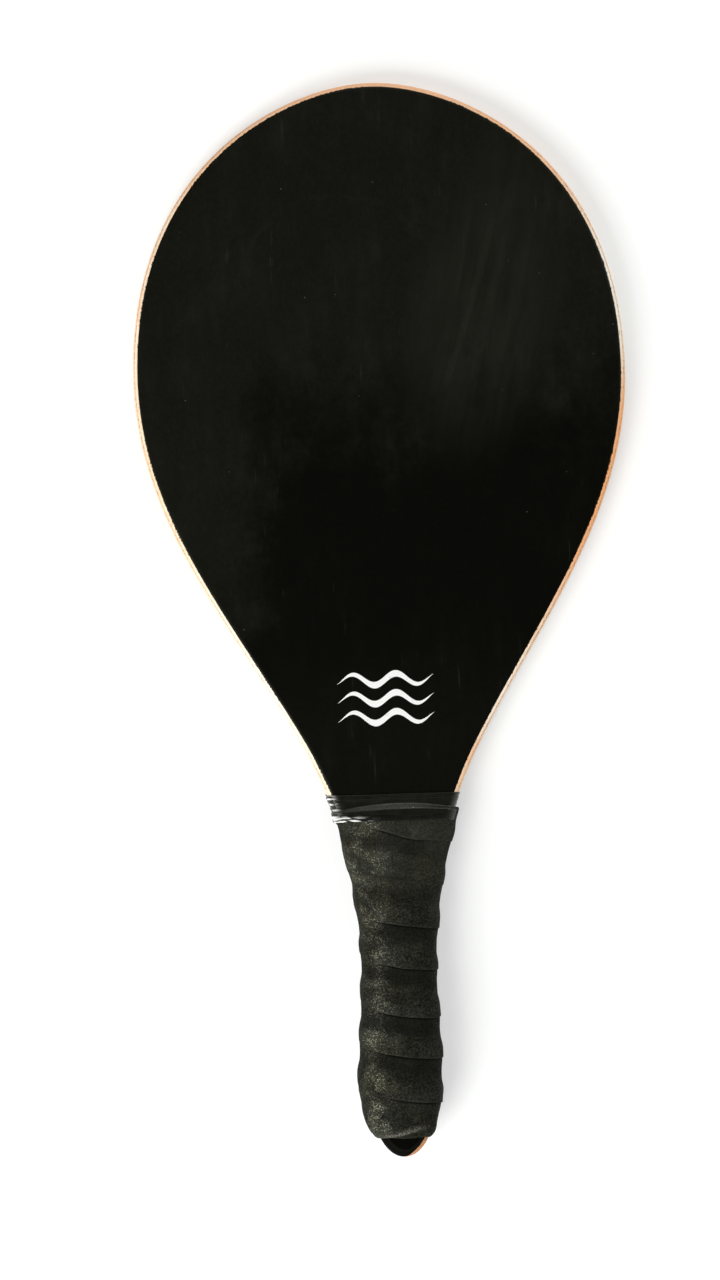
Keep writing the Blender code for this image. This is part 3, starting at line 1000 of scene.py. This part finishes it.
def orange_share(x, y, head, stretches):
    """1 where the edge is more orange: over the head, and down the right side to the band."""
    throat = most(fall(y, *BAND_ORANGE_CHANGE, 0.75), fade(y, *THROAT_ORANGE_CHANGE, 0.12))
    right = product(fade(x, *ORANGE_ACROSS), fall(y, *ORANGE_CHANGE), throat)
    orange = most(right, head, fade(y, *SHOULDER_CHANGE, 0.0, 0.62))
    return product(orange, fade(stretches, 0.30, 0.55, 0.62))


def edge_light_share(x, y):
    """1 where the edge is painted paler, as painted light: in two stretches of the right side, and at the
    left throat.
    """
    upper = product(fade(y, *UPPER_EDGE_LIGHT[:2]), fall(y, *UPPER_EDGE_LIGHT[2:], 0.92))
    lower = product(fade(y, *LOWER_EDGE_LIGHT[:2]), fall(y, *LOWER_EDGE_LIGHT[2:], 0.60))
    right = product(most(upper, lower), fade(x, *EDGE_LIGHT_ACROSS))
    left = product(fall(x, *LEFT_EDGE_LIGHT_ACROSS), fall(y, *LEFT_EDGE_LIGHT_CHANGE, 0.72))
    return most(right, left)


def draw_glue_lines(place, body, depth, head, stretches):
    """The stained and dashed line of glue between each two veneers."""
    dashes = fade(cloud(place, 640.0, EVEN, 3.0, 0.6, (6.0, 2.0, 0.0)), 0.44, 0.62)
    clear = rest(product(head, 0.8))
    for height, half_line in GLUE_LINES:
        away = absolute(less(depth, height))
        stain = product(fall(away, half_line * 0.4, half_line * 1.6, 0.65), clear,
                        fade(stretches, 0.40, 0.56, 0.55))
        line = product(fall(away, half_line * 0.3, half_line * 0.8, 0.80), clear, dashes)
        body = coats(body, (stain, (0.78, 0.42, 0.24)), (line, (0.24, 0.085, 0.035)))
    return body


def make_okoume(name, along_handle, pale, ruddy):
    """Varnished okoume veneer seen on its edge, with pores, glue lines and black over its rim."""
    material, tree, shader = new_material(name)
    place = paddle_coordinates(tree)
    x, y, z = axes_of(place)
    drawn = (1.0, 0.035, 1.0) if along_handle else (0.035, 1.0, 1.0)
    pored = (1.0, 0.16, 1.0) if along_handle else (0.16, 1.0, 1.0)
    figure = cloud(place, 900.0, drawn, 5.0, 0.6)
    broad = cloud(place, 26.0, EVEN, 3.0, 0.5, (4.0, 1.0, 2.0))
    stretches = cloud(place, 9.0, EVEN, 3.0, 0.6, (3.0, 7.0, 0.0))
    pores = fade(cloud(place, 2200.0, pored, 2.0, 0.55, (1.0, 3.0, 2.0)), 0.62, 0.70)
    head = fade(y, *HEAD_CHANGE)
    butt = fall(y, *BUTT_DARK_CHANGE)
    orange_tone = mix(head, (0.95, 0.46, 0.20), (1.0, 0.58, 0.34))
    body = coats(mix(fade(figure, 0.36, 0.66), pale, ruddy),
                 (fade(broad, 0.45, 0.72, 0.0, 0.55), ruddy),
                 # More orange over the head and down the right side
                 (orange_share(x, y, head, stretches), orange_tone),
                 # Painted light: the edge is paler in two stretches of the right side and at the left
                 # throat
                 (edge_light_share(x, y), (1.0, 0.94, 0.81)),
                 # Darker towards the butt's tip
                 (product(butt, 0.85), (0.42, 0.150, 0.040)),
                 (product(pores, 0.55), (0.30, 0.12, 0.045)))
    depth = total(absolute(z), swing(broad, 0.0004))
    body = draw_glue_lines(place, body, depth, head, stretches)
    ragged = cloud(place, 900.0, (1.0, 1.0, 0.3), 4.0, 0.6, (9.0, 0.0, 0.0))
    over_tip = product(butt, fade(x, *TIP_BLACK_ACROSS, 0.0040, 0.0002))
    covered = total(depth, swing(ragged, 0.00050), over_tip)
    black = fade(covered, FACING_BOTTOM - 0.00010, FACING_BOTTOM - 0.00003)
    body = mix(black, body, (0.0020, 0.0020, 0.0012))
    rough = total(fade(figure, 0.3, 0.7, 0.34, 0.50), product(black, 0.40))
    relief = less(product(figure, 0.5), pores)
    set_finish(shader, body, rough, relief, 0.35, 0.00012, specular=0.05)
    return material


def make_cheek_wood():
    """The sanded wood of the cheeks, which the winding hides."""
    material, tree, shader = new_material("sanded_okoume")
    figure = cloud(paddle_coordinates(tree), 500.0, (1.0, 0.03, 1.0), 5.0, 0.6)
    body = mix(fade(figure, 0.35, 0.68), (0.74, 0.46, 0.30), (0.56, 0.29, 0.17))
    set_finish(shader, body, 0.7, figure, 0.4, 0.0002)
    return material


# The facing

def wave_print(x, y, z):
    """Three stacked wave lines with tapering ends, 1 where the white ink lies on the front."""
    across = less(x, WAVES_MIDDLE[0])
    up = less(y, WAVES_MIDDLE[1])
    rise = product(sums("SINE", product(across, math.tau / WAVE_LENGTH)), WAVE_RISE)
    level = less(up, rise)
    from_line = absolute(sums("WRAP", level, -WAVE_SPACING / 2, WAVE_SPACING / 2))
    end = sums("DIVIDE", across, WAVES_HALF_LENGTH)
    half_ink = product(rest(product(end, end)), WAVE_HALF_INK)
    inked = fade(less(half_ink, from_line), -INK_EDGE, INK_EDGE)
    three = fall(absolute(level), WAVE_SPACING * 1.5 - 0.0002, WAVE_SPACING * 1.5)
    return product(inked, three, fade(z, 0.0, 0.001))


def smear_mark(place, smudge):
    """The long wiped smear on the right, with a lighter streak along it."""
    slanted = about(place, SMEAR_MIDDLE, SMEAR_SLANT)
    aside, up, _ = axes_of(slanted)
    strokes = cloud(slanted, 190.0, (1.0, 0.09, 1.0), 7.0, 0.62, (1.0, 2.0, 0.0))
    away = total(oval(aside, up, *SMEAR_HALF_SIZE), swing(smudge, 4.0))
    smear = product(fall(away, 0.0, 1.9), fade(strokes, 0.30, 0.72, 0.30),
                    fade(smudge, 0.34, 0.64, 0.55))
    aside, up, _ = axes_of(about(place, STREAK_MIDDLE, STREAK_SLANT))
    aside = total(aside, swing(smudge, 0.008))
    streak = product(fall(absolute(aside), *STREAK_EDGE),
                     fall(absolute(up), *STREAK_END), fade(strokes, 0.30, 0.60, 0.45))
    return most(smear, streak)


def ring_marks(place, y, smudge):
    """Faint round wipe marks near the head."""
    middle = about(place, RINGS_MIDDLE)
    radius = put("VectorMath", {0: middle}, operation="LENGTH").outputs["Value"]
    bent = total(radius, product(smudge, 0.026))
    sockets = {"W": product(bent, 210.0), "Scale": 1.0, "Detail": 6.0, "Roughness": 0.7}
    rings = put("TexNoise", sockets, noise_dimensions="1D").outputs[0]
    return product(fade(rings, 0.42, 0.74), fade(radius, *RINGS_INSIDE),
                   fall(radius, *RINGS_OUTSIDE, 0.60), fade(y, *RINGS_CHANGE),
                   fade(smudge, 0.40, 0.60))


def face_light_share(x, y, smudge):
    """1 where the face is painted lighter, as painted light: its upper part, its left flank and its throat.
    """
    flank = less(x, fall(y, *FLANK_SHIFT_CHANGE, 0.030))
    level = total(less(y, product(x, 0.10)),
                  fall(flank, *FLANK_EDGE, 0.100), swing(smudge, 0.20))
    throat = product(fall(y, *THROAT_LIGHT_CHANGE, 0.30), fade(y, *TIP_CHANGE))
    return most(fade(level, *FACE_LIGHT_CHANGE), throat)


def make_facing():
    """The satin black facing with wipe marks, smudges, dust, fine scratches and its print, and painted
    light on its upper part, left flank and throat.
    """
    material, tree, shader = new_material("black_facing_sheet")
    place = paddle_coordinates(tree)
    x, y, z = axes_of(place)
    wipes = cloud(place, 150.0, (1.0, 0.14, 1.0), 8.0, 0.66, (2.0, 5.0, 0.0))
    smudge = cloud(place, 24.0, (1.0, 0.8, 1.0), 9.0, 0.70, (7.0, 2.0, 0.0))
    film = product(fade(wipes, 0.40, 0.72), fade(smudge, 0.36, 0.68), 0.70)
    film = total(film, fade(smudge, 0.46, 0.76, 0.0, 0.45))
    smear = smear_mark(place, smudge)
    film = most(film, smear, ring_marks(place, y, smudge))
    face_light = face_light_share(x, y, smudge)
    # Painted light: the bare face and its smudge film are lighter over the upper part, the left flank and
    # the throat
    clean = mix(face_light, (0.0017, 0.0018, 0.0013), (0.0051, 0.0055, 0.0034))
    dulled = mix(face_light, (0.0029, 0.0031, 0.0020), (0.0105, 0.0107, 0.0080))
    grain = cloud(place, 1100.0, (1.0, 0.5, 1.0), 3.0, 0.7, (6.0, 0.0, 3.0))
    hair = cloud(place, 700.0, (1.0, 0.05, 1.0), 2.0, 0.5, (3.0, 0.0, 0.0))
    scratch = product(fade(hair, 0.66, 0.74), fade(smudge, 0.48, 0.62), 0.30)
    dust = product(grains(place, 210.0, 0.03, 0.08, 0.90, 1.0), 0.38)
    worn_ink = fade(cloud(place, 900.0, EVEN, 3.0, 0.6), 0.28, 0.34, 0.6)
    ink = product(wave_print(x, y, z), worn_ink)
    body = coats(mix(film, clean, dulled),
                 (product(smear, 0.55), (0.0175, 0.0178, 0.0130)),
                 (fade(grain, 0.36, 0.70, 0.0, 0.50), dulled),
                 (scratch, (0.035, 0.035, 0.030)),
                 (dust, (0.22, 0.22, 0.20)),
                 (ink, (0.82, 0.82, 0.80)))
    rim = fade(absolute(z), BLADE_HALF_THICKNESS - 0.00008, BLADE_HALF_THICKNESS - 0.00001, 0.60, -0.10)
    tip = product(fall(y, 0.018, 0.028), rim)
    rough = total(fade(film, 0.0, 1.0, 0.29, 0.36), product(dust, 0.3), tip, product(ink, 0.12))
    relief = total(cloud(place, 140.0, EVEN, 2.0, 0.5, EVEN), product(ink, 0.6))
    set_finish(shader, body, rough, relief, 0.10, 0.00012, specular=0.10, tint=(1.0, 1.0, 0.82))
    return material


# The tapes

def lit_crown_share(y, across, drift, below_next, next_step, own_step):
    """1 on the crowns of the turns, which take painted highlight, and 0 in the laps below the next turn's
    edge, which take painted shade.
    """
    lit_crown = fade(total(below_next, swing(drift, 0.014)), 0.0050, 0.0120)
    soft_edge = product(rest(own_step), fall(across, 0.0, 0.0045))
    lit_crown = product(lit_crown, rest(product(soft_edge, 0.75)))
    near_next = product(fall(below_next, 0.0, 0.0065, 0.65), rest(next_step))
    return most(lit_crown, near_next, fall(y, 0.023, 0.0295, 0.85))


def speck_and_highlight_share(place, y, fuzz, patch, lit_crown, highlight_stripe, clear_of_left_rim_shade):
    """How thickly the pale specks of the nap lie, brightened as painted highlight: most on the lit crowns
    and on the highlight stripe.
    """
    lit = grains(place, 1650.0, 0.22, 0.62, 0.50, 0.92)
    speck = total(lit, fade(fuzz, 0.52, 0.68, 0.0, 0.34))
    near_butt = product(fall(y, 0.025, 0.031), fade(y, 0.0115, 0.0155), highlight_stripe)
    mid_grip = product(fade(y, 0.060, 0.072), fall(y, 0.078, 0.100))
    # Painted highlight: the specks grow brighter near the butt and over the middle of the grip
    highlight_boost = total(product(near_butt, 0.4), product(mid_grip, 0.25), 1.0)
    return product(speck, fade(patch, 0.34, 0.66, 0.05),
                   total(product(lit_crown, 0.68), 0.32), total(product(highlight_stripe, 0.84), 0.20),
                   highlight_boost, clear_of_left_rim_shade, fade(y, 0.0105, 0.0150, 0.30))


def make_cushion_tape():
    """Napped charcoal tape: a fine grain and pale specks, with painted highlight on the crowns and the
    front's left, and painted shade in the laps.
    """
    material, tree, shader = new_material("charcoal_cushion_tape")
    place = paddle_coordinates(tree)
    x, y, z = axes_of(place)
    flat = put("UVMap", tree=tree, uv_map="UVMap").outputs[0]
    across = axes_of(flat)[1]
    below_next, next_step, own_step, fold, highlight_stripe = [mark(tree, name) for name in MARKS_OF_TAPE]
    grain = cloud(place, 1000.0, EVEN, 4.0, 0.8)
    fuzz = cloud(place, 1450.0, EVEN, 3.0, 0.75, (3.0, 2.0, 1.0))
    patch = cloud(place, 95.0, EVEN, 4.0, 0.6, (5.0, 1.0, 2.0))
    drift = cloud(place, 130.0, EVEN, 3.0, 0.55, (8.0, 6.0, 2.0))
    dark = (0.0012, 0.0013, 0.0008)
    # Paler in patches and towards the top of the winding
    paler_patches_and_top = total(fade(patch, 0.45, 0.72, 0.0, 0.35), fade(y, 0.112, 0.138, 0.0, 0.30))
    lit_crown = lit_crown_share(y, across, drift, below_next, next_step, own_step)
    # Painted shade: the sheen and the specks dim to 0.35 on the handle's left rim, above the butt
    clear_of_left_rim_shade = most(fade(x, -0.0176, -0.0150, 0.35), fade(y, 0.024, 0.031))
    # Painted sheen: a soft highlight over the lit crowns of the stripe at the front's left
    painted_sheen = product(highlight_stripe, clear_of_left_rim_shade, fade(lit_crown, 0.0, 1.0, 0.13, 0.43), fade(patch, 0.36, 0.62, 0.20))
    # The pale specks of the nap, brightened as painted highlight on the lit crowns and the stripe at the
    # front's left
    pale = speck_and_highlight_share(place, y, fuzz, patch, lit_crown, highlight_stripe, clear_of_left_rim_shade)
    # The specks' colour: grey, and golden as painted glints in the highlight stripe
    speck_and_glint_colour = mix(highlight_stripe, (0.20, 0.205, 0.160), (0.50, 0.487, 0.352))
    body = coats(mix(fade(grain, 0.43, 0.58), dark, (0.0205, 0.0215, 0.0155)),
                 (paler_patches_and_top, (0.0390, 0.0400, 0.0295)),
                 (fall(fuzz, 0.34, 0.46, 0.60), dark),
                 (painted_sheen, (0.070, 0.069, 0.052)),
                 (product(pale, 0.90), speck_and_glint_colour),
                 (fall(y, 0.100, 0.130, 0.16), dark))
    hue = cloud(place, 70.0, EVEN, 4.0, 0.65, (12.0, 3.0, 9.0))
    body = mix(1.0, body, mix(fade(hue, 0.38, 0.62), (1.02, 1.01, 0.92), (0.97, 1.01, 1.06)), "MULTIPLY")
    # Painted shade in the laps below each next turn's edge
    lap_shade = product(rest(lit_crown), fade(next_step, 0.0, 1.0, 0.38, 0.64))
    # Painted contact shadow just below the next turn's edge
    contact_shadow = product(fall(below_next, 0.0003, 0.0013, 0.97), next_step)
    # Painted highlight along the crest of the fold at the butt
    fold_highlight = product(fold, fade(fuzz, 0.44, 0.60, 0.12))
    from_nick = oval(less(x, NICK_MIDDLE[0]), less(y, NICK_MIDDLE[1]), *NICK_HALF_SIZE)
    nick = product(fall(from_nick, 0.6, 1.3), fade(z, 0.0, 0.001))
    body = coats(body,
                 (lap_shade, (0.0016, 0.0017, 0.0011)),
                 (contact_shadow, (0.0004, 0.0004, 0.0003)),
                 # Painted highlight along each turn's lower edge
                 (fall(across, 0.0001, 0.0012, 0.13), (0.050, 0.049, 0.038)),
                 (fold_highlight, (0.205, 0.197, 0.165)),
                 (grains(place, 150.0, 0.035, 0.075, 0.945, 0.955), (0.62, 0.60, 0.52)),
                 (nick, (0.001, 0.001, 0.001)))
    gather = product(cloud(flat, 900.0, (1.0, 0.06, 1.0), 2.0, 0.5), fade(across, 0.008, 0.016, 0.25))
    relief = total(product(grain, 0.9), product(fuzz, 0.6), product(gather, 0.8))
    relief = less(relief, product(nick, 2.0))
    rough = fade(fuzz, 0.50, 0.62, 0.88, 0.42)
    set_finish(shader, body, rough, relief, 0.85, 0.00040, specular=0.09, tint=(1.0, 0.96, 0.80))
    return material


def make_vinyl():
    """Glossy black vinyl tape with stretch lines round the handle, a little dust, painted white glints and
    a painted highlight on its edges.
    """
    material, tree, shader = new_material("glossy_black_vinyl")
    place = paddle_coordinates(tree)
    flat = put("UVMap", tree=tree, uv_map="UVMap").outputs[0]
    across = axes_of(flat)[1]
    stretch = cloud(flat, 1500.0, (0.03, 1.0, 1.0), 4.0, 0.6)
    cloudy = cloud(place, 160.0, EVEN, 4.0, 0.6)
    edge = sums("MINIMUM", across, less(VINYL_WIDTH, across))
    dust = product(grains(place, 330.0, 0.05, 0.10, 0.955, 0.965), 0.7)
    body = coats(mix(fade(stretch, 0.4, 0.7), (0.0022, 0.0024, 0.0013), (0.0078, 0.0080, 0.0054)),
                 # Painted highlight along both edges of the band
                 (fall(edge, 0.0001, 0.0003, 0.6), (0.028, 0.028, 0.025)),
                 (dust, (0.5, 0.5, 0.47)),
                 # Painted white glints on the puckers, the left corner and the right flank
                 (mark(tree, "painted_glints"), (0.90, 0.90, 0.86)))
    rough = fade(cloudy, 0.3, 0.7, 0.22, 0.34)
    relief = total(product(stretch, 1.6), cloudy)
    set_finish(shader, body, rough, relief, 0.35, 0.00018, specular=0.42, tint=(1.0, 1.0, 0.90))
    return material


# The table, the light and the camera

def make_floor():
    """A plain white table top that keeps the paddle's shadow."""
    bpy.ops.object.select_all(action="DESELECT")
    bpy.ops.mesh.primitive_plane_add(size=14.0, location=(0.0, 0.0, 0.0))
    floor = bpy.context.active_object
    floor.name = "table_top"
    material, tree, shader = new_material("white_table")
    tree.nodes.remove(shader)
    seen = put("LightPath", tree=tree).outputs
    shown = most(seen["Is Camera Ray"], seen["Is Glossy Ray"], seen["Is Transmission Ray"])
    matt = put("BsdfDiffuse", {"Color": (0.610, 0.622, 0.608)}, tree)
    place = put("TexCoord", tree=tree).outputs["Object"]
    far = put("VectorMath", {0: place}, operation="LENGTH").outputs["Value"]
    far_lift = product(seen["Is Camera Ray"], fade(far, 0.45, 1.40, 0.0, FAR_FLOOR_LIFT))
    strength = total(product(shown, FLOOR_LIFT), far_lift)
    lift = put("Emission", {"Color": (1.0, 1.0, 1.0), "Strength": strength})
    both = put("AddShader", {0: matt.outputs[0], 1: lift.outputs[0]})
    output = next(node for node in tree.nodes if node.type == "OUTPUT_MATERIAL")
    plug(output, "Surface", both.outputs[0])
    floor.data.materials.append(material)


def make_world():
    """A pale room, white at its walls and dim overhead, where the camera hangs."""
    world = bpy.data.worlds.new("studio")
    bpy.context.scene.world = world
    world.use_nodes = True
    tree = world.node_tree
    background = tree.nodes["Background"]
    way = put("TexCoord", tree=tree).outputs["Generated"]
    level = fade(axes_of(way)[2], 0.10, 0.85, WALL_LIGHT, CEILING_LIGHT)
    seen = put("LightPath", tree=tree).outputs
    camera_level = put("Mix", {0: seen["Is Camera Ray"], 2: level, 3: 1.0}, data_type="FLOAT")
    plug(background, "Strength", camera_level.outputs[0])
    plug(background, "Color", EVEN)


def add_softbox(name, place, aim, width, height, watts):
    bpy.ops.object.select_all(action="DESELECT")
    bpy.ops.object.light_add(type="AREA", location=place)
    lamp = bpy.context.active_object
    lamp.name = name
    lamp.data.shape = "RECTANGLE"
    lamp.data.size = width
    lamp.data.size_y = height
    lamp.data.energy = watts
    lamp.rotation_euler = (Vector(aim) - Vector(place)).to_track_quat("-Z", "Y").to_euler()


def add_camera():
    """Straight overhead, turned by the paddle's lean, with the image's middle set from the origin."""
    lean = math.radians(-PADDLE_LEAN)
    right = Vector((math.cos(lean), math.sin(lean), 0.0))
    up = Vector((-math.sin(lean), math.cos(lean), 0.0))
    across = (IMAGE_WIDTH / 2 - ORIGIN_PIXEL[0]) * METRES_PER_PIXEL
    down = (IMAGE_HEIGHT / 2 - ORIGIN_PIXEL[1]) * METRES_PER_PIXEL
    middle = right * across - up * down
    face_height = cad_box[1].z * FACE_HEIGHT_SHARE
    bpy.ops.object.camera_add(location=(middle.x, middle.y, face_height + CAMERA_HEIGHT),
                              rotation=(0.0, 0.0, lean))
    camera = bpy.context.active_object
    camera.data.lens = camera.data.sensor_width * CAMERA_HEIGHT / (IMAGE_HEIGHT * METRES_PER_PIXEL)
    bpy.context.scene.camera = camera


bpy.context.scene.view_settings.view_transform = "Standard"
veneer = make_okoume("varnished_okoume", True, (0.97, 0.84, 0.66), (0.90, 0.63, 0.41))
cross_veneer = make_okoume("varnished_okoume_end_grain", False,
                           (0.95, 0.79, 0.60), (0.86, 0.54, 0.33))
make_blade(veneer, cross_veneer, make_facing())
cheek_wood = make_cheek_wood()
for name in ("front_cheek", "back_cheek"):
    cheek = frame["nodes"][name]
    cheek.data.materials.clear()
    cheek.data.materials.append(cheek_wood)
cushion_tape = make_grip_tape(make_cushion_tape())
vinyl_band = make_finishing_band(make_vinyl())
make_floor()
make_world()
for softbox in SOFTBOXES:
    add_softbox(*softbox)
add_camera()
